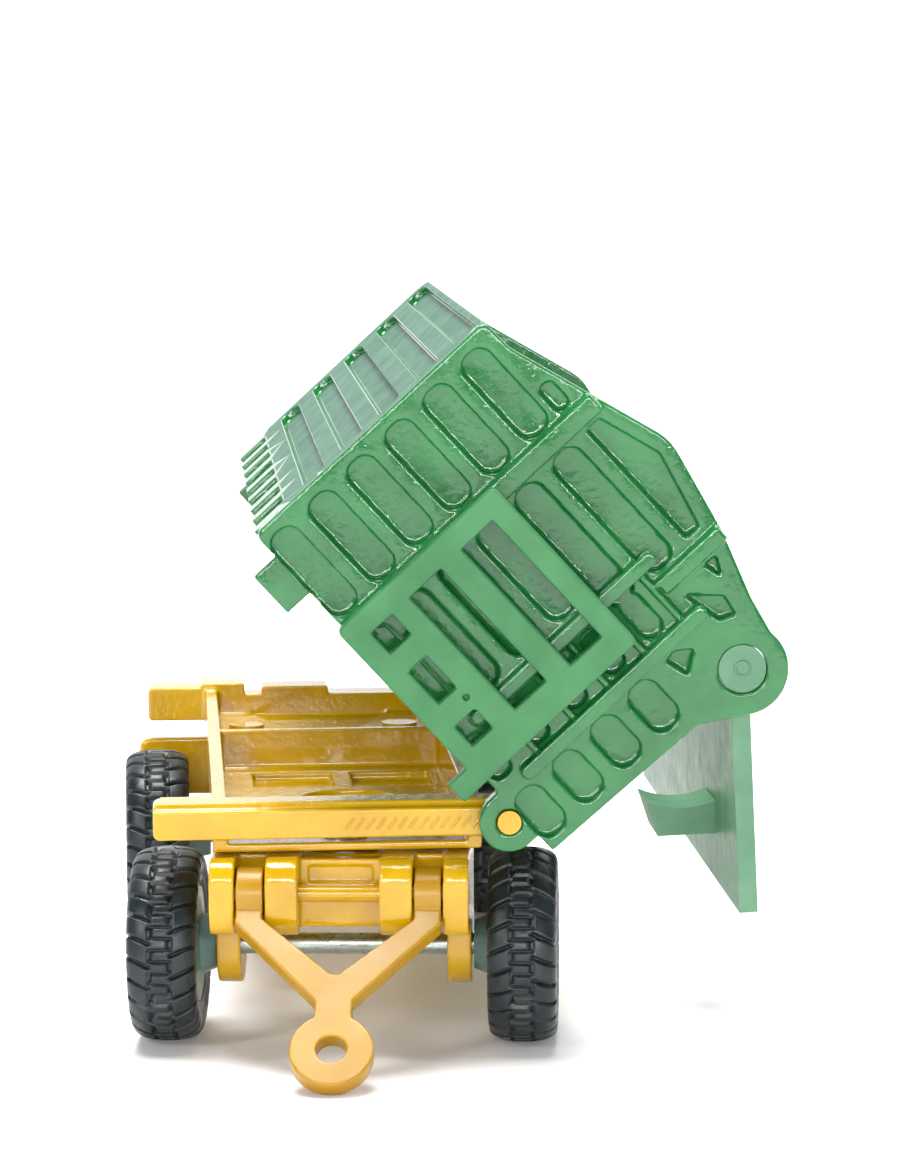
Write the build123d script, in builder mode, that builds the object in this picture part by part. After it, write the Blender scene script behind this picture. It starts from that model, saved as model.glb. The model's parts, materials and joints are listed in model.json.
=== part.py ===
from build123d import *
import math
import os

# Two-axle side-tipping farm wagon, a die-cast toy of about 1:80, in millimetres, +Z up.
# The wagon's front faces -Y and it tips to +X. Every group (hopper, flap, dolly, drawbar) is drawn
# level and straight in its own frame, then save() turns it to the rest pose: hopper tipped,
# flap hanging, dolly turned a little, drawbar down with its eye on the ground.

os.makedirs("parts", exist_ok=True)

# ---------------------------------------------------------------- driving dimensions
# running gear
wheel_radius = 7.3
tyre_width = 5.4
front_tyre_centre = 13.3      # from the centre line to the middle of a tyre
rear_tyre_centre = 14.15      # the rear axle is a little longer
axle_radius = 0.8
wheelbase = 47.8
front_axle_y = 7.6            # from the hopper's front face
rim_seat_radius = 4.3         # where the tyre's bead sits
hub_radius = 2.3              # hub boss on the inner side of the rim

# chassis casting
rail_outer = 9.9              # half width over the rails
rail_wall = 1.0
floor_top = 15.8
floor_thickness = 0.6
front_bar_left = 14.3         # reach of the bars on the closed side
rear_bar_left = 14.9
bar_bottom = 16.3             # underside of both bars
front_bar_depth = 3.6
rear_bar_depth = 3.6
rail_drop = 0.6               # rails and front bar below the pads that the hopper rests on
rear_bar_drop = 0.3           # rear bar below its pads
cross_wall_y = 37.8
cross_wall = 1.0
rear_deck_drop = 2.0          # rear deck below the top of the rails
deck_thickness = 1.0

# tipping pivot and hopper
pivot_x = 11.7
pivot_z = 17.6
tip_pin_radius = 0.87
tip_pin_root = 0.7            # pressed end of the pin, inside the bar
lug_radius = 2.2
hopper_length = 66.4
hopper_left = 28.15           # from the pivot to the closed side wall
hopper_bottom = 0.9           # underside above the pivot
wall_top = 23.5               # top of the closed side wall above the pivot
end_wall = 1.6
side_wall = 1.4
bearer_bottom = 2.0           # cross bearers above the pivot
bearer_height = 0.6
bearer_width = 3.0
bearer_count = 9
hopper_floor = 1.0
sill_depth = 0.9              # notches between the bearer ends, in the closed side wall
sill_top = 4.2

# panels pressed in the walls
pocket_pitch = 3.77
pocket_height = 2.55
pocket_depth = 0.7
first_pocket = 2.23           # middle of the lowest end-wall pocket above the pivot
first_groove = 6.85           # middle of the lowest groove along the closed side wall

# flap
hinge_u = 3.45                # flap hinge, from the pivot, in the level hopper
hinge_v = 20.1
hinge_pin_radius = 1.76
boss_radius = 3.4
flap_drop = 18.45             # hinge line to the flap's bottom edge
flap_thickness = 1.36
pin_recess = 0.25             # hinge pin ends inside the gables' outer faces

# dolly and drawbar
lug_pin_forward = 6.3         # drawbar pin ahead of the kingpin
lug_pin_z = 12.3
drawbar_pin_radius = 0.6
kingpin_radius = 1.1
lug_top = 15.0
dolly_top = 14.8
plate_outer = 9.5             # outer faces of the axle plates
plate_thickness = 1.8
plate_radius = 2.9            # round lower end of an axle plate
drawbar_reach = 13.9          # pin to the middle of the towing eye
drawbar_thickness = 1.4
eye_outer_radius = 3.02
eye_bore_radius = 1.1

# clearances
running = 0.07                # radial, pins and shafts that turn
gap = 0.3                     # between faces of different moving pieces
rest_gap = 0.1                # lowered hopper above the deck
end_play = 0.15

# rest pose, degrees
tip_angle = 47.5              # hopper tipped to the right
flap_lean = 2.3               # flap hangs this far off the vertical, from the weight of its tab
steer_angle = -6.3            # dolly about the kingpin

# ---------------------------------------------------------------- worked out
pad_top = pivot_z + bearer_bottom - rest_gap
deck_top = pad_top - rail_drop
underside = floor_top - floor_thickness
bar_front = end_wall + gap + 0.1
rear_bar_back = hopper_length - bar_front
rear_bar_front = rear_bar_back - rear_bar_depth
rear_axle_y = front_axle_y + wheelbase
bar_end_radius = deck_top - pivot_z
bar_right = pivot_x + bar_end_radius
rear_deck = deck_top - rear_deck_drop
inner_side = rail_outer - rail_wall
# the drawbar hangs until the lower edge of its eye meets the ground
eye_edge = drawbar_reach + eye_outer_radius
drawbar_angle = math.degrees(
    math.asin(lug_pin_z / math.hypot(eye_edge, drawbar_thickness / 2)) - math.atan2(drawbar_thickness / 2, eye_edge)
)

pieces = {}                   # name -> (builder, rest pose), written out at the end

level = Location((0, 0, 0))
hopper_pose = Location((pivot_x, 0, pivot_z), (0, tip_angle, 0))
flap_pose = hopper_pose * Location((hinge_u, 0, hinge_v), (0, -tip_angle - flap_lean, 0))
dolly_pose = Location((0, front_axle_y, 0), (0, 0, steer_angle))
drawbar_pose = dolly_pose * Location((0, -lug_pin_forward, lug_pin_z), (drawbar_angle, 0, 0))


def upright(y):
    """Drawing plane that stands across the wagon at y: x to the right, y up, normal forward."""
    return Plane.XZ.offset(-y)


def sideways(x):
    """Drawing plane that stands along the wagon at x: x rearward, y up, normal to the right."""
    return Plane.YZ.offset(x)


def add_box(x, y, z, mode=Mode.ADD):
    """Box from three (low, high) pairs, in the builder that is open."""
    with Locations(((x[0] + x[1]) / 2, (y[0] + y[1]) / 2, (z[0] + z[1]) / 2)):
        Box(x[1] - x[0], y[1] - y[0], z[1] - z[0], mode=mode)


# ---------------------------------------------------------------- chassis casting
rear_bar_top = pad_top - rear_bar_drop
socket_radius = 3.6           # round socket in the floor
socket_depth = 0.8
socket_x = 0.8
socket_y = cross_wall_y - 15.0
small_hole_radius = 1.85
small_hole_x = -5.5
pocket_width = 6.4            # two pockets side by side, with a low post between them
pocket_length = 6.8
pocket_recess = 0.7
pocket_post = 1.5
pad_thickness = 0.45          # under the pockets and the socket, just clear of the turned front tyres
rivet_x = 6.5
rivet_y = rear_axle_y - 3.6
rivet_radius = 0.8
rivet_head = 1.5
rivet_tail = plate_outer - plate_thickness - rivet_x + 0.15
with BuildPart() as chassis:
    # floor and rails
    rail_y = (bar_front + 1.0, rear_bar_back)
    add_box((-rail_outer, rail_outer), (rail_y[0], cross_wall_y + cross_wall), (underside, floor_top))
    for side in (-1, 1):
        edges = sorted((side * inner_side, side * rail_outer))
        add_box(edges, rail_y, (underside, deck_top))
    # rear deck, a little higher than the front floor, and the cross wall between them
    wall_y = (cross_wall_y, cross_wall_y + cross_wall)
    add_box((-rail_outer, rail_outer), (cross_wall_y, rear_bar_back), (rear_deck - deck_thickness, rear_deck))
    add_box((-rail_outer, rail_outer), wall_y, (underside, deck_top))
    # thick pad under the floor pockets and the socket
    add_box((-rail_outer, rail_outer), (socket_y - 4.4, cross_wall_y), (underside - pad_thickness, underside))
    # front and rear bars, round about the pivot at their right ends, so the hopper can turn over them
    front_bar = (bar_front, front_bar_depth, deck_top, front_bar_left)
    rear_bar = (rear_bar_front, rear_bar_depth, rear_bar_top, rear_bar_left)
    for y, depth, top, left in (front_bar, rear_bar):
        with BuildSketch(upright(y)) as bar:
            with BuildLine():
                Polyline(
                    (pivot_x, deck_top),
                    (pivot_x - 1.0, top),
                    (-left, top),
                    (-left, bar_bottom),
                    (bar_right - 0.3, bar_bottom),
                    (bar_right, pivot_z),
                )
                CenterArc((pivot_x, pivot_z), bar_end_radius, 0, 90)
            make_face()
            fillet(bar.vertices().group_by(Axis.X)[0], 0.5)
        extrude(amount=-depth)
    # the front bar is deeper outside the rail, and its front edge is stepped down
    outside = (-front_bar_left + 0.5, -rail_outer)
    add_box(outside, (bar_front, bar_front + front_bar_depth + 0.5), (bar_bottom, deck_top))
    whole_bar = (-front_bar_left, bar_right)
    add_box(whole_bar, (bar_front, bar_front + 0.9), (deck_top - 0.45, deck_top), Mode.SUBTRACT)
    # pads that the hopper rests on, and the low stretches of the rear bar between them
    add_box((-rail_outer - 0.3, -rail_outer + 3.4), (rear_bar_front, rear_bar_back), (bar_bottom, pad_top))
    add_box((0.8, pivot_x - 1.6), (rear_bar_front, rear_bar_back), (rear_bar_top - 0.7, rear_bar_top), Mode.SUBTRACT)
    add_box((-rail_outer + 3.4, -5.0), (rear_bar_front, rear_bar_back), (rear_bar_top - 0.7, pad_top), Mode.SUBTRACT)
    # two rectangular pockets in front of the cross wall
    for side in (-1, 1):
        pocket_x = socket_x + side * (pocket_width + pocket_post) / 2
        with Locations((pocket_x, cross_wall_y - 2.9 - pocket_length / 2, floor_top)):
            Box(pocket_width, pocket_length, 2 * pocket_recess, mode=Mode.SUBTRACT)
    # round socket and small through hole in the floor
    with Locations((socket_x, socket_y, floor_top)):
        Cylinder(socket_radius, 2 * socket_depth, mode=Mode.SUBTRACT)
    with Locations((small_hole_x, socket_y - 0.7, floor_top)):
        Cylinder(small_hole_radius, 5.0, mode=Mode.SUBTRACT)
    # shallow recess in the rear deck, wider towards the rear bar
    with BuildSketch(Plane.XY.offset(rear_deck)):
        with BuildLine():
            Polyline(
                (-6.0, rear_bar_front),
                (6.0, rear_bar_front),
                (2.2, rear_bar_front - 10.8),
                (-2.2, rear_bar_front - 10.8),
                close=True,
            )
        make_face()
    extrude(amount=-0.35, mode=Mode.SUBTRACT)
    # kingpin hole, pin sockets, rivet bosses and holes
    with Locations((0, front_axle_y, floor_top - floor_thickness / 2)):
        Cylinder(kingpin_radius, floor_thickness, mode=Mode.SUBTRACT)
    for y in (bar_front + 1.6, rear_bar_back - 1.6):
        with Locations(Location((pivot_x, y, pivot_z), (90, 0, 0))):
            Cylinder(tip_pin_root, 3.2, mode=Mode.SUBTRACT)
    for x in (-rivet_x, rivet_x):
        with Locations((x, rivet_y, (underside + rear_deck) / 2)):
            Cylinder(rivet_radius + 0.8, rear_deck - underside)
            Cylinder(rivet_radius, rear_deck - underside, mode=Mode.SUBTRACT)
        with Locations((x, rivet_y, rear_deck + 0.2)):
            Cylinder(rivet_head, 0.4, mode=Mode.SUBTRACT)
pieces["chassis_frame"] = (chassis, level)

# ---------------------------------------------------------------- rear underframe
plate_top = underside
board_reach = 15.7            # half width of the light board
board_y = (rear_axle_y + wheel_radius + 0.6, rear_axle_y + wheel_radius + 1.8)
with BuildPart() as underframe:
    add_box((-plate_outer, plate_outer), (rear_axle_y - 5.8, board_y[1]), (plate_top - 1.0, plate_top))
    for side in (-1, 1):
        with BuildSketch(sideways(side * plate_outer)):
            with BuildLine():
                Polyline((rear_axle_y - plate_radius, plate_top), (rear_axle_y - plate_radius, wheel_radius))
                ThreePointArc(
                    (rear_axle_y - plate_radius, wheel_radius),
                    (rear_axle_y, wheel_radius - plate_radius),
                    (rear_axle_y + plate_radius, wheel_radius),
                )
                Polyline(
                    (rear_axle_y + plate_radius, wheel_radius),
                    (rear_axle_y + plate_radius, plate_top),
                    (rear_axle_y - plate_radius, plate_top),
                )
            make_face()
            with Locations((rear_axle_y, wheel_radius)):
                Circle(axle_radius + running, mode=Mode.SUBTRACT)
        extrude(amount=-side * plate_thickness)
    # light board behind the wheels
    with BuildSketch(upright(board_y[0])):
        with Locations((0, plate_top - 3.3)):
            RectangleRounded(2 * board_reach, 5.0, 1.0)
    extrude(amount=-(board_y[1] - board_y[0]))
    add_box((-plate_outer, plate_outer), (board_y[0] - 0.4, board_y[1]), (plate_top - 3.0, plate_top))
    for x in (-rivet_x, rivet_x):
        with Locations((x, rivet_y, plate_top - 0.5)):
            Cylinder(rivet_radius, 1.0, mode=Mode.SUBTRACT)
pieces["rear_underframe"] = (underframe, level)

with BuildPart() as underframe_rivets:
    for x in (-rivet_x, rivet_x):
        with Locations((x, rivet_y, (rear_deck + plate_top - 1.0) / 2)):
            Cylinder(rivet_radius, rear_deck - plate_top + 1.0)
        with Locations((x, rivet_y, rear_deck + 0.2)):
            Cylinder(rivet_head, 0.4)
        with Locations((x, rivet_y, plate_top - 1.25)):
            Cylinder(rivet_tail, 0.5)
pieces["underframe_rivets"] = (underframe_rivets, level)

# ---------------------------------------------------------------- dolly, drawn about its kingpin
slot_inner = 5.4              # drawbar legs stand between the inner and outer lugs
slot_outer = 7.65
leg_outer = slot_outer - gap / 2
leg_inner = slot_inner + gap / 2
lug_front = -lug_pin_forward - 1.9
lug_back = -3.8
lug_bottom = 9.3
web_thickness = 0.8


with BuildPart() as dolly:
    add_box((-plate_outer, plate_outer), (lug_back, 3.4), (dolly_top - 1.4, dolly_top))
    # web behind the lugs
    add_box((-plate_outer, plate_outer), (lug_back, lug_back + web_thickness), (lug_bottom, dolly_top))
    # round-nosed lugs, an inner and an outer one on each side
    for inner, outer in ((3.0, slot_inner), (slot_outer, plate_outer)):
        for side in (-1, 1):
            with BuildSketch(sideways(side * outer)) as nose:
                with Locations(((lug_front + lug_back + 1.0) / 2, (lug_top + lug_bottom) / 2)):
                    Rectangle(lug_back + 1.0 - lug_front, lug_top - lug_bottom)
                fillet(nose.vertices().group_by(Axis.X)[0], 1.7)
            extrude(amount=-side * (outer - inner))
    # centre block with a recessed panel behind the pin
    add_box((-3.0, 3.0), (-5.3, lug_back + 0.5), (lug_bottom + 0.3, lug_top - 0.3))
    add_box((-2.4, 2.4), (-5.3, -5.0), (12.9, 14.2), Mode.SUBTRACT)
    # axle plates with round lower ends
    for side in (-1, 1):
        with BuildSketch(sideways(side * plate_outer)):
            with BuildLine():
                Polyline((-plate_radius, dolly_top), (-plate_radius, wheel_radius))
                ThreePointArc(
                    (-plate_radius, wheel_radius), (0, wheel_radius - plate_radius), (plate_radius, wheel_radius)
                )
                Polyline((plate_radius, wheel_radius), (plate_radius, dolly_top), (-plate_radius, dolly_top))
            make_face()
            with Locations((0, wheel_radius)):
                Circle(axle_radius + running, mode=Mode.SUBTRACT)
        extrude(amount=-side * plate_thickness)
    # kingpin hole and drawbar pin hole
    with Locations((0, 0, dolly_top - 0.7)):
        Cylinder(kingpin_radius + running, 1.5, mode=Mode.SUBTRACT)
    with Locations(Location((0, -lug_pin_forward, lug_pin_z), (0, 90, 0))):
        Cylinder(drawbar_pin_radius, 2 * plate_outer, mode=Mode.SUBTRACT)
pieces["dolly_frame"] = (dolly, dolly_pose)

with BuildPart() as kingpin:
    with Locations((0, front_axle_y, (floor_top + dolly_top - 1.6) / 2)):
        Cylinder(kingpin_radius, floor_top - dolly_top + 1.6)
    with Locations((0, front_axle_y, floor_top + 0.25)):
        Cylinder(1.9, 0.5)
    fillet(kingpin.edges().group_by(Axis.Z)[-1], 0.3)
    with Locations((0, front_axle_y, dolly_top - 1.4 - 0.15 - 0.3)):
        Cylinder(1.8, 0.6)
pieces["kingpin"] = (kingpin, level)

with BuildPart() as washer:
    with Locations((0, front_axle_y, underside - 0.15)):
        Cylinder(2.4, 0.3)
        Cylinder(kingpin_radius, 0.3, mode=Mode.SUBTRACT)
pieces["kingpin_washer"] = (washer, level)

with BuildPart() as drawbar_pin:
    with Locations(Location((0, -lug_pin_forward, lug_pin_z), (0, 90, 0))):
        Cylinder(drawbar_pin_radius, 2 * plate_outer - 0.4)
pieces["drawbar_pin"] = (drawbar_pin, dolly_pose)

# ---------------------------------------------------------------- drawbar, drawn flat about its pin
leg_start = 2.0               # beyond the pin
knee = 3.1                    # where the straight legs end, on their outer side
crotch = 7.5                  # inner corner of the V
neck_width = 2.7
boss = 2.0                    # round the pin, at the top of each leg
bar_width = leg_outer - leg_inner
with BuildPart() as drawbar:
    with BuildSketch(Plane.XY.offset(-drawbar_thickness / 2)) as outline:
        with BuildLine():
            Polyline(
                (leg_inner, leg_start),
                (leg_inner, 0.4 - knee),
                (0.3, -crotch),
                (-0.3, -crotch),
                (-leg_inner, 0.4 - knee),
                (-leg_inner, leg_start),
                (-leg_outer, leg_start),
                (-leg_outer, -knee),
                (-neck_width / 2, -crotch - 2.3),
                (-neck_width / 2, 2.0 - drawbar_reach),
                (neck_width / 2, 2.0 - drawbar_reach),
                (neck_width / 2, -crotch - 2.3),
                (leg_outer, -knee),
                (leg_outer, leg_start),
                close=True,
            )
        make_face()
        with Locations((0, -drawbar_reach)):
            Circle(eye_outer_radius)
            Circle(eye_bore_radius, mode=Mode.SUBTRACT)
    extrude(amount=drawbar_thickness)
    for side in (-1, 1):
        with Locations(Location((side * (leg_inner + leg_outer) / 2, 0, 0), (0, 90, 0))):
            Cylinder(boss, bar_width)
    with Locations(Location((0, 0, 0), (0, 90, 0))):
        Cylinder(drawbar_pin_radius + running, 2 * plate_outer, mode=Mode.SUBTRACT)
pieces["drawbar"] = (drawbar, drawbar_pose)

# ---------------------------------------------------------------- wheelsets, drawn about their axle
front_wheels = ("front", 0, front_tyre_centre, dolly_pose)
rear_wheels = ("rear", rear_axle_y, rear_tyre_centre, level)
for end, y, tyre_centre, pose in (front_wheels, rear_wheels):
    with BuildPart() as axle:
        with Locations(Location((0, y, wheel_radius), (0, 90, 0))):
            Cylinder(axle_radius, 2 * (tyre_centre + 1.6))
    pieces[end + "_axle"] = (axle, pose)
    for side, hand in ((-1, "left"), (1, "right")):
        wheel_plane = Plane(origin=(side * tyre_centre, y, wheel_radius), x_dir=(side, 0, 0), z_dir=(0, 1, 0))
        half = tyre_width / 2
        shoulder = wheel_radius - 1.2
        hub_reach = tyre_centre - plate_outer - end_play
        with BuildPart() as rim:
            # half section: x outward along the axle, y away from it
            with BuildSketch(wheel_plane):
                with BuildLine():
                    Polyline(
                        (-hub_reach, 0),
                        (-hub_reach, hub_radius * 0.8),
                        (-half + 0.2, hub_radius),
                        (-half + 0.4, rim_seat_radius),
                        (half - 0.6, rim_seat_radius),
                        (half - 0.6, rim_seat_radius - 0.6),
                        (half - 1.4, rim_seat_radius - 1.2),
                        (half - 1.4, hub_radius),
                        (half - 0.6, hub_radius - 0.7),
                        (half - 0.6, 0),
                        close=True,
                    )
                make_face()
            revolve(axis=Axis((0, y, wheel_radius), (1, 0, 0)))
            with Locations(Location((side * (tyre_centre - 1.0), y, wheel_radius), (0, 90, 0))):
                Cylinder(axle_radius, 2 * (hub_reach + 1.0), mode=Mode.SUBTRACT)
        pieces[f"{end}_{hand}_rim"] = (rim, pose)
        with BuildPart() as tyre:
            with BuildSketch(wheel_plane):
                with BuildLine():
                    Polyline(
                        (-half, shoulder),
                        (-half, rim_seat_radius + 0.6),
                        (-half + 0.5, rim_seat_radius),
                        (half - 0.6, rim_seat_radius),
                        (half, rim_seat_radius + 0.6),
                        (half, shoulder),
                    )
                    ThreePointArc(
                        (half, shoulder), (half - 0.35, wheel_radius - 0.45), (half - 1.1, wheel_radius - 0.12)
                    )
                    ThreePointArc((half - 1.1, wheel_radius - 0.12), (0, wheel_radius), (1.1 - half, wheel_radius - 0.12))
                    ThreePointArc(
                        (1.1 - half, wheel_radius - 0.12), (0.35 - half, wheel_radius - 0.45), (-half, shoulder)
                    )
                make_face()
            revolve(axis=Axis((0, y, wheel_radius), (1, 0, 0)))
        pieces[f"{end}_{hand}_tyre"] = (tyre, pose)

# ---------------------------------------------------------------- tipping pins
for end, face, inward in (("front", 0.0, 1), ("rear", hopper_length, -1)):
    with BuildPart() as tip_pin:
        for radius, start, stop in ((tip_pin_radius, -0.15, end_wall + gap), (tip_pin_root, 0, bar_front + 3.2)):
            middle = face + inward * (start + stop) / 2
            with Locations(Location((pivot_x, middle, pivot_z), (90, 0, 0))):
                Cylinder(radius, stop - start)
    pieces[end + "_tip_pin"] = (tip_pin, level)

# ---------------------------------------------------------------- hopper, drawn level about its pivot
rows = [first_pocket + i * pocket_pitch for i in range(6)]
floor_v = bearer_bottom + bearer_height + hopper_floor
floor_end = hinge_u - flap_thickness / 2 - 0.35


# gable end wall with the flap boss and the pivot lug
with BuildSketch() as gable:
    with BuildLine():
        Polyline(
            (-hopper_left, hopper_bottom),
            (-hopper_left, wall_top),
            (-25.4, wall_top + 0.1),
            (-12.6, 27.6),
            (-5.2, 25.9),
            (0, 24.1),
            (hinge_u - 0.6, hinge_v + boss_radius - 0.05),
            (hinge_u + 2.6, hinge_v - 2.2),
            (hinge_u + 0.75, hinge_v - 5.2),
            (hinge_u + 0.3, hopper_bottom),
            close=True,
        )
    make_face()
    fillet(gable.vertices().sort_by(Axis.Y)[-1], 4.0)
    fillet(gable.vertices().group_by(Axis.X)[0], 0.7)
    with Locations((hinge_u, hinge_v)):
        Circle(boss_radius)
    with Locations((0, 0)):
        Circle(lug_radius)
    with Locations((0, 1.0)):
        Rectangle(2 * lug_radius, 2.0)
    with Locations((hinge_u, hinge_v)):
        Circle(hinge_pin_radius + running, mode=Mode.SUBTRACT)
    with Locations((0, 0)):
        Circle(tip_pin_radius + running, mode=Mode.SUBTRACT)


def pocket(left, right, v, height=pocket_height):
    """One round-cornered pocket in the sketch that is open."""
    with Locations(((left + right) / 2, v)):
        RectangleRounded(right - left, height, min(height, right - left) * 0.42)


# pressed pockets of one end wall
with BuildSketch() as pockets:
    for i, v in enumerate(rows):
        pocket(-27.2, -19.4, v)
        pocket(-17.4, -8.3 if i < 4 else -6.1, v)
    for v in rows[:5]:
        pocket(-6.5, -2.7, v, 1.9)
    for v in rows[:4]:
        pocket(-1.1, 3.0, v)
    pocket(-21.9, -19.5, rows[5] + 2.5, 1.3)
    # corner panels, straight-sided, under the sloping rim and round the flap boss
    for corners in (
        ((-17.3, 23.6), (-6.5, 23.6), (-6.5, 24.9), (-12.4, 26.4), (-17.3, 24.9)),
        ((-0.9, 16.4), (-1.0, 17.4), (-0.1, 18.6), (1.0, 16.9)),
        ((-3.7, 20.6), (-1.5, 22.8), (0.1, 22.5), (-0.4, 21.3), (-1.9, 21.0)),
        ((-4.2, 23.2), (-2.6, 23.6), (-4.1, 24.4)),
    ):
        with BuildLine():
            Polyline(*corners, close=True)
        make_face()


post_1 = -18.4
post_2 = -5.1
ladder_rails = (-7.35, -1.87)
rung_height = 0.45
with BuildPart() as hopper:
    for y in (0, hopper_length - end_wall):
        with BuildSketch(upright(y)):
            add(gable.sketch)
        extrude(amount=-end_wall)
    inner_y = (end_wall, hopper_length - end_wall)
    add_box((-hopper_left, -hopper_left + side_wall), inner_y, (hopper_bottom, wall_top))
    add_box((-hopper_left, floor_end), inner_y, (floor_v - hopper_floor, floor_v))
    # cross bearers under the floor; their ends show between notches in the foot of the side wall
    spacing = (hopper_length - 2 * end_wall - bearer_width) / (bearer_count - 1)
    for i in range(bearer_count):
        y = end_wall + i * spacing
        add_box((-hopper_left, floor_end), (y, y + bearer_width), (bearer_bottom, floor_v))
        if i:
            notch_y = (y - spacing + bearer_width, y)
            notch_u = (-hopper_left, -hopper_left + sill_depth)
            add_box(notch_u, notch_y, (hopper_bottom, sill_top - 0.4), Mode.SUBTRACT)
    # feet on the closed side, in line with the end walls
    for y in (end_wall - 1.1, hopper_length - end_wall):
        add_box((-25.9, -22.3), (y, y + 1.1), (-1.3, hopper_bottom + 1.0))
    # pockets in both end walls and along the closed side wall
    for y, inward in ((0, -1), (hopper_length, 1)):
        with BuildSketch(upright(y)):
            add(pockets.sketch)
        extrude(amount=inward * pocket_depth, mode=Mode.SUBTRACT)
    with BuildSketch(sideways(-hopper_left)):
        for i in range(5):
            with Locations((hopper_length / 2, first_groove + i * pocket_pitch)):
                RectangleRounded(hopper_length - 2 * end_wall - 1.6, 2.0, 0.8)
    extrude(amount=pocket_depth, mode=Mode.SUBTRACT)
    # posts and ladder on the front wall
    with BuildSketch(upright(0)):
        with Locations((post_1, 13.2)):
            Rectangle(1.5, 24.6)
        with Locations((post_2, 22.8)):
            Rectangle(1.2, 6.0)
        for v in (19.3, 15.7, 12.1, 8.7, 5.1):
            with Locations((sum(ladder_rails) / 2, v)):
                Rectangle(ladder_rails[1] - ladder_rails[0], rung_height)
    extrude(amount=0.5)
    with BuildSketch(upright(0)):
        for u in ladder_rails:
            with Locations((u, 12.1)):
                RectangleRounded(1.1, 18.0, 0.5)
    extrude(amount=0.9)
    # peg sockets for the grille
    for u in (-18.3, -4.6):
        for v in (1.6, 14.9):
            with Locations(Location((u, 0, v), (90, 0, 0))):
                Cylinder(0.4, 2.0, mode=Mode.SUBTRACT)
pieces["hopper_body"] = (hopper, hopper_pose)

# grille frame pegged to the front wall
grille_back = -1.1
grille_front = -2.3
with BuildPart() as grille:
    with BuildSketch(upright(grille_back)) as face:
        with Locations(((-19.2 - 3.75) / 2, (0.5 + 15.95) / 2)):
            RectangleRounded(19.2 - 3.75, 15.45, 0.5)
        with Locations((-4.6, 0.0)):
            Rectangle(1.75, 2.5)
        with Locations((-11.6, 12.7)):
            Rectangle(11.6, 3.0, mode=Mode.SUBTRACT)
        with Locations((-11.8, 7.6)):
            Rectangle(11.2, 3.0, mode=Mode.SUBTRACT)
        with Locations((-16.4, 3.3)):
            Rectangle(2.0, 2.0, mode=Mode.SUBTRACT)
        with Locations((-11.9, 3.2)):
            Rectangle(3.2, 1.7, mode=Mode.SUBTRACT)
        with Locations((-7.3, 3.0)):
            Rectangle(1.9, 1.9, mode=Mode.SUBTRACT)
    extrude(amount=grille_back - grille_front)
    for u in (-18.3, -4.6):
        for v in (1.6, 14.9):
            with Locations(Location((u, (grille_back + 0.9) / 2, v), (90, 0, 0))):
                Cylinder(0.4, 0.9 - grille_back)
    fillet(grille.faces().sort_by(Axis.Y)[0].edges(), 0.25)
    with Locations(Location((-9.3, grille_front + 0.2, 4.1), (90, 0, 0))):
        Cylinder(0.25, 0.5, mode=Mode.SUBTRACT)
pieces["front_grille"] = (grille, hopper_pose)

# ---------------------------------------------------------------- flap, drawn hanging from its hinge
flap_y = (end_wall + gap, hopper_length - end_wall - gap)
with BuildPart() as flap:
    add_box((-flap_thickness / 2, flap_thickness / 2), flap_y, (-flap_drop, 0))
    with Locations(Location((0, hopper_length / 2, 0), (90, 0, 0))):
        Cylinder(1.2, flap_y[1] - flap_y[0])
    pin_length = flap_y[0] - pin_recess
    for y in (flap_y[0] - pin_length / 2, flap_y[1] + pin_length / 2):
        with Locations(Location((0, y, 0), (90, 0, 0))):
            Cylinder(hinge_pin_radius, pin_length)
    # small tab on the inner face
    with BuildSketch(upright(14.0)):
        with BuildLine():
            Polyline((-0.5, -12.0), (-0.5, -14.6), (-5.2, -14.6), (-6.0, -11.8))
            ThreePointArc((-6.0, -11.8), (-3.4, -12.5), (-0.5, -12.0))
        make_face()
    extrude(amount=-6.0)
pieces["side_flap"] = (flap, flap_pose)

# ---------------------------------------------------------------- rest pose and export
for piece, pose in pieces.values():
    piece.part.move(pose)
boxes = [piece.part.bounding_box() for piece, pose in pieces.values()]
middle_x = (min(box.min.X for box in boxes) + max(box.max.X for box in boxes)) / 2
middle_y = (min(box.min.Y for box in boxes) + max(box.max.Y for box in boxes)) / 2
lowest = min(box.min.Z for box in boxes)
to_origin = Location((-middle_x, -middle_y, -lowest))
for name, (piece, pose) in pieces.items():
    piece.part.move(to_origin)
    piece.part.label = name
    export_step(piece.part, f"parts/{name}.step")
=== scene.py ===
import json
import math

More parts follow.
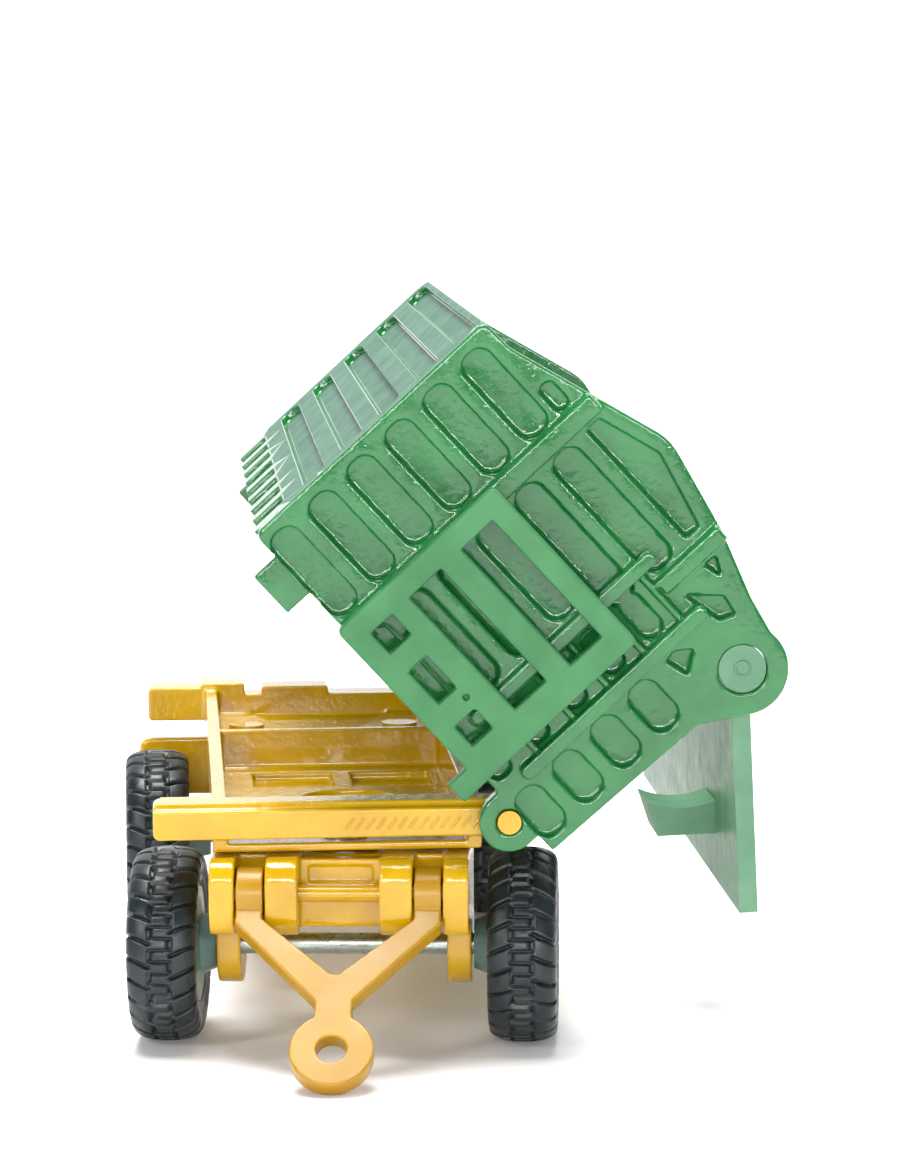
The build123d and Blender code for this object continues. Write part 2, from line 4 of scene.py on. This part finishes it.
import bmesh
import bpy
import numpy as np
from mathutils import Euler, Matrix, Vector


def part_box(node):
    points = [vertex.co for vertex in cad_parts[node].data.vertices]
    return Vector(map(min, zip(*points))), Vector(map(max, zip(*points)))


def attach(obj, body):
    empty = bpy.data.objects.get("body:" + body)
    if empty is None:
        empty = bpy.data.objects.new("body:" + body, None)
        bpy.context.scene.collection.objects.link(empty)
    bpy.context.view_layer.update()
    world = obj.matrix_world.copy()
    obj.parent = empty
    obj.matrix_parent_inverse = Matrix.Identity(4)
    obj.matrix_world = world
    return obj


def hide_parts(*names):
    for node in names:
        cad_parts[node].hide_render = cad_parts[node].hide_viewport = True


# Die-cast toy farm wagon, side-tipping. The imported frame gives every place; sizes here are in metres.
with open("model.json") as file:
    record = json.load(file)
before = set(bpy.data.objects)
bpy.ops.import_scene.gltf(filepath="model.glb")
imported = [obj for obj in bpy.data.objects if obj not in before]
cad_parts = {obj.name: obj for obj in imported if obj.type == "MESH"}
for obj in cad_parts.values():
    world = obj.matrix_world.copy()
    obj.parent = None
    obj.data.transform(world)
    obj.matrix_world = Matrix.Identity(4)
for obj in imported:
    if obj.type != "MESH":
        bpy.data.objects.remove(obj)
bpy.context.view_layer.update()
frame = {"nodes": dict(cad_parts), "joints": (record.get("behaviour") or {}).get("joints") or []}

MM = 0.001
scene = bpy.context.scene
nodes = frame["nodes"]
joint_place = {j["name"]: Vector(j["pos_m"]) for j in frame["joints"]}
joint_axis = {j["name"]: Vector(j["axis"]).normalized() for j in frame["joints"]}
tip_pivot = joint_place["hopper_tip"]
flap_hinge = joint_place["flap_swing"]


# ---------------------------------------------------------------- material helpers
def new_material(name, colour, roughness, **sockets):
    """Principled material with constant values on its own sockets."""
    material = bpy.data.materials.new(name)
    material.use_nodes = True
    shader = material.node_tree.nodes["Principled BSDF"]
    shader.inputs["Base Color"].default_value = (*colour, 1.0)
    shader.inputs["Roughness"].default_value = roughness
    for socket, value in sockets.items():
        shader.inputs[socket.replace("_", " ")].default_value = value
    return material


def add_node(material, kind, **settings):
    """One node of a material, with its settings and unlinked inputs."""
    node = material.node_tree.nodes.new(kind)
    for key, value in settings.items():
        if key in node.inputs:
            node.inputs[key].default_value = value
        else:
            setattr(node, key, value)
    return node


def noise(material, scale, detail=3.0, roughness=0.5, distortion=0.0):
    """Noise in object coordinates, so it stays on the piece as it moves."""
    tree = material.node_tree
    place = add_node(material, "ShaderNodeTexCoord")
    cloud = add_node(material, "ShaderNodeTexNoise", Scale=scale, Detail=detail, Roughness=roughness)
    cloud.inputs["Distortion"].default_value = distortion
    tree.links.new(place.outputs["Object"], cloud.inputs["Vector"])
    return cloud.outputs["Fac"]


def vary_roughness(material, fac, low, high):
    tree = material.node_tree
    spread = add_node(material, "ShaderNodeMapRange")
    spread.inputs["From Min"].default_value = 0.3
    spread.inputs["From Max"].default_value = 0.7
    spread.inputs["To Min"].default_value = low
    spread.inputs["To Max"].default_value = high
    tree.links.new(fac, spread.inputs["Value"])
    tree.links.new(spread.outputs["Result"], tree.nodes["Principled BSDF"].inputs["Roughness"])


def vary_colour(material, fac, dark, light, low=0.35, high=0.65):
    tree = material.node_tree
    ramp = add_node(material, "ShaderNodeValToRGB")
    ramp.color_ramp.elements[0].position = low
    ramp.color_ramp.elements[0].color = (*dark, 1.0)
    ramp.color_ramp.elements[1].position = high
    ramp.color_ramp.elements[1].color = (*light, 1.0)
    tree.links.new(fac, ramp.inputs["Fac"])
    tree.links.new(ramp.outputs["Color"], tree.nodes["Principled BSDF"].inputs["Base Color"])


def add_bump(material, fac, strength, distance):
    tree = material.node_tree
    bump = add_node(material, "ShaderNodeBump", Strength=strength, Distance=distance)
    tree.links.new(fac, bump.inputs["Height"])
    tree.links.new(bump.outputs["Normal"], tree.nodes["Principled BSDF"].inputs["Normal"])


# ---------------------------------------------------------------- materials
def enamel(name, dark, light, coat=0.35, mottle=0.55, gloss=0.1):
    """Thick glossy toy enamel: faint orange peel, and a tone that is a little darker in random patches."""
    material = new_material(name, light, 0.16, Coat_Weight=coat, Coat_Roughness=0.05, IOR=1.52)
    vary_colour(material, noise(material, 240, 3), dark, light, 0.3, 0.62)
    vary_roughness(material, noise(material, 420, 3), gloss, gloss + 0.12)
    add_bump(material, noise(material, 1900, 2, 0.5), mottle, 0.00008)
    return material


def moulded(name, dark, light, rough_low, rough_high, grain=2600):
    """Moulded plastic: fine satin grain."""
    material = new_material(name, light, rough_low, IOR=1.46)
    vary_colour(material, noise(material, 260, 3), dark, light)
    vary_roughness(material, noise(material, 700, 3), rough_low, rough_high)
    add_bump(material, noise(material, grain, 2), 0.12, 0.00004)
    return material


yellow = enamel("yellow_enamel", (0.51, 0.285, 0.0005), (0.62, 0.36, 0.001))
drawbar_yellow = enamel("drawbar_yellow", (0.37, 0.19, 0.0005), (0.42, 0.22, 0.001), 0.05, 0.12, 0.3)
green = enamel("green_enamel", (0.007, 0.12, 0.025), (0.016, 0.172, 0.042))
satin_green = moulded("satin_green", (0.027, 0.16, 0.05), (0.043, 0.205, 0.069), 0.38, 0.5)
flap_green = moulded("flap_green", (0.085, 0.22, 0.12), (0.12, 0.275, 0.155), 0.34, 0.46)
hub_grey = moulded("hub_grey", (0.11, 0.19, 0.17), (0.18, 0.28, 0.25), 0.25, 0.4)

rubber = new_material("black_rubber", (0.006, 0.011, 0.013), 0.4, IOR=1.5)
vary_colour(rubber, noise(rubber, 900, 4), (0.004, 0.007, 0.009), (0.011, 0.019, 0.021))
vary_roughness(rubber, noise(rubber, 600, 4), 0.26, 0.5)
add_bump(rubber, noise(rubber, 2600, 3), 0.3, 0.00005)

steel = new_material("nickel_steel", (0.48, 0.56, 0.53), 0.28, Metallic=1.0)
vary_roughness(steel, noise(steel, 1800, 4, 0.6, 0.5), 0.2, 0.42)
add_bump(steel, noise(steel, 5000, 2), 0.1, 0.00002)


def dress(obj, material):
    obj.data.materials.clear()
    obj.data.materials.append(material)


# Duller, greyer green for the closed side wall's outer faces: a painted sheen, standing in for white reflected
# off the glossy wall at a grazing angle.
painted_sheen_green = new_material("side_wall_painted_sheen", (0.065, 0.16, 0.11), 0.5, Specular_IOR_Level=0.12)
vary_colour(painted_sheen_green, noise(painted_sheen_green, 220, 3), (0.055, 0.135, 0.092), (0.08, 0.18, 0.127))
vary_roughness(painted_sheen_green, noise(painted_sheen_green, 700, 3), 0.45, 0.6)


# ---------------------------------------------------------------- softened castings
TIP_ANGLE = math.radians(47.5)      # hopper tipped, as it stands at rest
WALL_OUT = 27.2 * MM                # the wall's raised faces lie further out than this from the pivot
WALL_FOOT = 4.4 * MM                # and start this far up the wall
WALL_FRONT, WALL_BACK = 0.9 * MM, 65.5 * MM


def paint_side_wall_sheen(mesh):
    """Paint the flat outer faces of the closed side wall a duller, greyer green: a painted sheen for the white
    that the glossy wall reflects at a grazing angle.
    """
    mesh.materials.append(painted_sheen_green)
    outward = Vector((-math.cos(TIP_ANGLE), 0, math.sin(TIP_ANGLE)))
    up_wall = Vector((math.sin(TIP_ANGLE), 0, math.cos(TIP_ANGLE)))
    for face in mesh.polygons:
        place = face.center - tip_pivot
        faces_out = face.normal.dot(outward) > 0.9 and place.dot(outward) > WALL_OUT
        if faces_out and place.dot(up_wall) > WALL_FOOT and WALL_FRONT < place.y < WALL_BACK:
            face.material_index = 1


def softened(node, body, material, voxel, rounds, keep):
    """Copy of a CAD node with edges rounded as thick paint rounds them; stands for the node."""
    source = nodes[node]
    copy = bpy.data.objects.new(node + "_cast", source.data.copy())
    scene.collection.objects.link(copy)
    remesh = copy.modifiers.new("voxels", "REMESH")
    remesh.mode = "VOXEL"
    remesh.voxel_size = voxel
    smooth = copy.modifiers.new("rounding", "SMOOTH")
    smooth.factor = 0.5
    smooth.iterations = rounds
    if keep < 1:
        thin = copy.modifiers.new("thinning", "DECIMATE")
        thin.ratio = keep
    bpy.context.view_layer.update()
    evaluated = copy.evaluated_get(bpy.context.evaluated_depsgraph_get())
    mesh = bpy.data.meshes.new_from_object(evaluated)
    copy.modifiers.clear()
    copy.data = mesh
    mesh.shade_smooth()
    dress(copy, material)
    # painted sheen on the outer faces of the closed side wall
    if node == "hopper_body":
        paint_side_wall_sheen(mesh)
    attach(copy, body)
    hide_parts(node)


COARSE = 1
softened("hopper_body", "hopper", green, 0.13 * MM * COARSE, 2, 0.13 if COARSE == 1 else 0.5)
softened("chassis_frame", "chassis", yellow, 0.13 * MM * COARSE, 3, 0.3)
softened("rear_underframe", "chassis", yellow, 0.13 * MM * COARSE, 3, 0.3)
softened("dolly_frame", "dolly", yellow, 0.11 * MM * COARSE, 9 // COARSE, 0.35)
softened("drawbar", "drawbar", drawbar_yellow, 0.09 * MM * COARSE, 4, 0.4)
softened("front_grille", "hopper", satin_green, 0.1 * MM * COARSE, 2, 0.4)


# ---------------------------------------------------------------- nodes kept from the CAD
def bevelled(node, material, width):
    """CAD node that stays, with narrow rounded edges and its own material."""
    obj = nodes[node]
    edge = obj.modifiers.new("soft_edges", "BEVEL")
    edge.width = width
    edge.segments = 3
    edge.limit_method = "ANGLE"
    edge.angle_limit = math.radians(35)
    edge.harden_normals = True
    dress(obj, material)


bevelled("side_flap", flap_green, 0.2 * MM)
for end in ("front", "rear"):
    bevelled(end + "_tip_pin", yellow, 0.12 * MM)
    bevelled(end + "_axle", steel, 0.15 * MM)
    for hand in ("left", "right"):
        bevelled(f"{end}_{hand}_rim", hub_grey, 0.08 * MM)
bevelled("drawbar_pin", yellow, 0.1 * MM)
bevelled("underframe_rivets", yellow, 0.1 * MM)
for node in ("kingpin", "kingpin_washer"):
    bevelled(node, steel, 0.1 * MM)


# ---------------------------------------------------------------- small raised marks
def ridge_path(name, points, thickness, body, material, closed=False):
    """Rounded raised line through the points, half sunk in the face that it stands on."""
    curve = bpy.data.curves.new(name, "CURVE")
    curve.dimensions = "3D"
    curve.bevel_depth = thickness / 2
    curve.bevel_resolution = 3
    curve.use_fill_caps = True
    line = curve.splines.new("NURBS")
    line.points.add(len(points) - 1)
    for point, place in zip(line.points, points):
        point.co = (*place, 1.0)
    line.use_endpoint_u = not closed
    line.use_cyclic_u = closed
    line.order_u = 3
    piece = bpy.data.objects.new(name, curve)
    scene.collection.objects.link(piece)
    curve.materials.append(material)
    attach(piece, body)


BAR_RIDGES = 13
RIDGE_PITCH = 0.78 * MM
RIDGE_LEAN = 0.32 * MM              # half of a ridge's width and of its height
RIDGE_RISE = 0.42 * MM


def front_bar_ridges():
    """Row of slanting cast ridges along the right half of the front bar."""
    face_y = tip_pivot.y + 1.98 * MM
    for i in range(BAR_RIDGES):
        x = tip_pivot.x - 11.6 * MM + i * RIDGE_PITCH
        z = tip_pivot.z - 0.25 * MM
        low = (x - RIDGE_LEAN, face_y, z - RIDGE_RISE)
        high = (x + RIDGE_LEAN, face_y, z + RIDGE_RISE)
        ridge_path(f"bar_ridge_{i + 1:02d}", [low, ((low[0] + high[0]) / 2, face_y, z), high], 0.2 * MM,
                   "chassis", yellow)


def flap_pin_marks():
    """Plain raised ring on each end of the flap's hinge pin."""
    low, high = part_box("side_flap")
    ring_radius = 0.55 * MM
    ring_points = 16
    for end, face_y in (("front", low.y), ("rear", high.y)):
        points = []
        for i in range(ring_points):
            turn = i / ring_points * 2 * math.pi
            points.append((flap_hinge.x + ring_radius * math.sin(turn), face_y,
                           flap_hinge.z + ring_radius * math.cos(turn)))
        ridge_path(f"{end}_pin_mark", points, 0.22 * MM, "flap", flap_green, closed=True)


front_bar_ridges()
flap_pin_marks()


# ---------------------------------------------------------------- tyres
LUGS = 26                     # tread bars on each side
GROOVE = 0.11 * MM            # half width of a groove
GROOVE_DEPTH = 0.42 * MM
TOOTH_REACH = 0.30            # reach of the middle zigzag to each side, as a share of half the width
BEAD_RADIUS = 4.3 * MM        # inner edge of the tyre on its rim


def groove_depth(turn, side, pitch, half):
    """Share of full groove depth: turn counts bars round the tyre, side is the distance from the middle."""
    reach = TOOTH_REACH * half
    past = np.maximum(np.abs(side) - reach, 0)

    def gap_to(phase, value):
        return np.abs((phase - value + 0.5) % 1.0 - 0.5) * pitch

    # square zigzag along the middle: cross cuts joined at alternate ends
    cross = np.hypot(np.minimum(gap_to(turn, 0.0), gap_to(turn, 0.5)), past)
    right_end = np.hypot(np.maximum(gap_to(turn, 0.25) - 0.25 * pitch, 0), side - reach)
    left_end = np.hypot(np.maximum(gap_to(turn, 0.75) - 0.25 * pitch, 0), side + reach)
    # one swept cut per bar from the zigzag to the shoulder
    swept = turn + 0.62 * past / half
    shoulder = np.where(side < 0, gap_to(swept, 0.25), gap_to(swept, 0.75))
    shoulder = np.where(past > 0.02 * MM, shoulder * 0.9, 1.0)
    nearest = np.minimum(np.minimum(cross, shoulder), np.minimum(right_end, left_end))
    cut = np.clip((GROOVE * 1.7 - nearest) / GROOVE, 0, 1)
    return cut * cut * (3 - 2 * cut)


def tyre_mesh(name, middle, axis, radius, half):
    """Closed treaded tyre: a profile swept round, its tread cut by groove_depth."""
    seat = BEAD_RADIUS
    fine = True
    # profile from the inner bead over the tread to the outer bead: (across, radius)
    side_wall = [(-0.80, seat), (-0.90, seat + 0.2 * MM), (-0.945, seat + 0.6 * MM), (-0.93, seat + 0.85 * MM)]
    side_wall += [(-0.97, seat + 1.1 * MM), (-0.995, radius - 1.75 * MM)]
    tread = []
    steps = 46 if fine else 20
    for i in range(steps + 1):
        lean = (2 * i / steps - 1) * math.pi / 2 * 0.96
        drop = 1.5 * MM * (1 - math.cos(lean) ** 0.62)
        tread.append((math.copysign(abs(math.sin(lean)) ** 0.86, lean), radius - drop))
    profile = side_wall + tread + [(-place, reach) for place, reach in reversed(side_wall)]
    across = np.array([place for place, reach in profile])
    reach = np.array([reach for place, reach in profile])
    ring = LUGS * (20 if fine else 10)
    angles = np.arange(ring) * 2 * math.pi / ring
    pitch = 2 * math.pi * radius / LUGS
    turn_grid, side_grid = np.meshgrid(angles * LUGS / (2 * math.pi), across * half, indexing="ij")
    cut = groove_depth(turn_grid, side_grid, pitch, half)
    reach_grid = np.tile(reach, (ring, 1))
    on_tread = np.clip((reach_grid - (radius - 1.9 * MM)) / (0.6 * MM), 0, 1)
    radii = reach_grid - GROOVE_DEPTH * cut * on_tread
    widths = side_grid * (1 - 0.05 * cut * on_tread * (np.abs(side_grid) > 0.85 * half))
    axis = Vector(axis).normalized()
    up = Vector((0, 0, 1))
    ahead = up.cross(axis).normalized()
    across_part = widths[..., None] * np.array(axis)
    round_part = radii[..., None] * (
        np.cos(angles)[:, None, None] * np.array(up) + np.sin(angles)[:, None, None] * np.array(ahead)
    )
    points = (np.array(middle) + across_part + round_part).reshape(-1, 3)
    count = len(profile)
    faces = []
    for i in range(ring):
        after = (i + 1) % ring
        for k in range(count):
            nxt = (k + 1) % count
            faces.append((i * count + k, i * count + nxt, after * count + nxt, after * count + k))
    mesh = bpy.data.meshes.new(name)
    mesh.from_pydata(points.tolist(), [], faces)
    mesh.validate()
    shape = bmesh.new()
    shape.from_mesh(mesh)
    bmesh.ops.recalc_face_normals(shape, faces=shape.faces)
    shape.to_mesh(mesh)
    shape.free()
    mesh.shade_smooth()
    return mesh


for end in ("front", "rear"):
    axis = joint_axis[end + "_wheels_roll"]
    centre = joint_place[end + "_wheels_roll"]
    for hand, side in (("left", -1), ("right", 1)):
        node = f"{end}_{hand}_tyre"
        low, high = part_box(node)
        radius = (high.z - low.z) / 2
        middle = (low + high) / 2
        flat = abs(axis.x)
        half = ((high.x - low.x) - 2 * radius * abs(axis.y)) / flat / 2
        mesh = tyre_mesh(node + "_tread", middle, axis * side, radius, half)
        tyre = bpy.data.objects.new(node + "_tread", mesh)
        scene.collection.objects.link(tyre)
        dress(tyre, rubber)
        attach(tyre, end + "_wheelset")
        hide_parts(node)


# ---------------------------------------------------------------- floor, light and camera
def painted_glow_with_distance(material):
    """Painted light: the sheet itself glows, faintly near the wagon and more strongly away from it."""
    tree = material.node_tree
    shader = tree.nodes["Principled BSDF"]
    shader.inputs["Emission Color"].default_value = (1, 1, 1, 1)
    place = add_node(material, "ShaderNodeTexCoord")
    length = add_node(material, "ShaderNodeVectorMath", operation="LENGTH")
    spread = add_node(material, "ShaderNodeMapRange")
    spread.inputs["From Min"].default_value = 0.06
    spread.inputs["From Max"].default_value = 0.34
    spread.inputs["To Min"].default_value = 0.04
    spread.inputs["To Max"].default_value = 0.85
    tree.links.new(place.outputs["Object"], length.inputs[0])
    tree.links.new(length.outputs["Value"], spread.inputs["Value"])
    tree.links.new(spread.outputs["Result"], shader.inputs["Emission Strength"])


def plain_floor():
    """One pale sheet, curved up behind the wagon, so there is no horizon."""
    flat_end, bend, turns = 0.9, 0.7, 16
    section = [(-1.5, 0.0), (flat_end, 0.0)]
    for i in range(1, turns + 1):
        angle = i / turns * math.pi / 2
        section.append((flat_end + bend * math.sin(angle), bend * (1 - math.cos(angle))))
    section.append((flat_end + bend, 2.6))
    points = [(x, y, z) for x in (-2.5, 2.5) for y, z in section]
    count = len(section)
    faces = [(i, count + i, count + i + 1, i + 1) for i in range(count - 1)]
    mesh = bpy.data.meshes.new("floor")
    mesh.from_pydata(points, [], faces)
    mesh.shade_smooth()
    floor = bpy.data.objects.new("floor", mesh)
    scene.collection.objects.link(floor)
    pale = new_material("pale_floor", (0.88, 0.87, 0.88), 0.9)
    vary_colour(pale, noise(pale, 4, 2), (0.86, 0.845, 0.855), (0.89, 0.88, 0.89))
    # painted glow on the sheet, stronger away from the wagon
    painted_glow_with_distance(pale)
    dress(floor, pale)


def soft_light(name, place, aim, size, power):
    """Rectangular soft light at a place, turned towards aim."""
    lamp = bpy.data.lights.new(name, "AREA")
    lamp.shape = "RECTANGLE"
    lamp.size, lamp.size_y = size
    lamp.energy = power
    holder = bpy.data.objects.new(name, lamp)
    scene.collection.objects.link(holder)
    holder.location = place
    holder.rotation_euler = (Vector(aim) - Vector(place)).to_track_quat("-Z", "Y").to_euler()


plain_floor()
heart = Vector((0.0, 0.0, 0.025))
soft_light("overhead", (-0.04, 0.02, 0.45), heart, (0.24, 0.24), 3.4)
soft_light("key_left", (-0.36, -0.40, 0.30), heart, (0.10, 0.16), 0.9)
soft_light("rim_right", (0.40, 0.06, 0.34), heart, (0.10, 0.26), 1.1)
soft_light("front_strip", (0.0, -0.68, 0.165), heart, (0.6, 0.045), 2.6)

world = bpy.data.worlds.new("studio")
world.use_nodes = True
world.node_tree.nodes["Background"].inputs["Color"].default_value = (1, 1, 1, 1)
world.node_tree.nodes["Background"].inputs["Strength"].default_value = 0.2
scene.world = world
scene.view_settings.view_transform = "Standard"

# camera in front, a little left and above, turned to the right and down
LENS_SHARE = 3.549            # focal length over the long side of the picture
lens = bpy.data.cameras.new("camera")
lens.sensor_width = 36.0
lens.lens = 36.0 * LENS_SHARE
lens.clip_start = 0.01
eye = bpy.data.objects.new("camera", lens)
scene.collection.objects.link(eye)
CAMERA_FROM_PIVOT = Vector((-24.27, -299.85, 53.26)) * MM
LOOK_DOWN, ROLL, LOOK_RIGHT = 6.82, 0.336, 3.86     # degrees
eye.location = tip_pivot + CAMERA_FROM_PIVOT
turn = (90 - LOOK_DOWN, ROLL, -LOOK_RIGHT)
eye.rotation_euler = Euler([math.radians(angle) for angle in turn], "XYZ")
scene.camera = eye
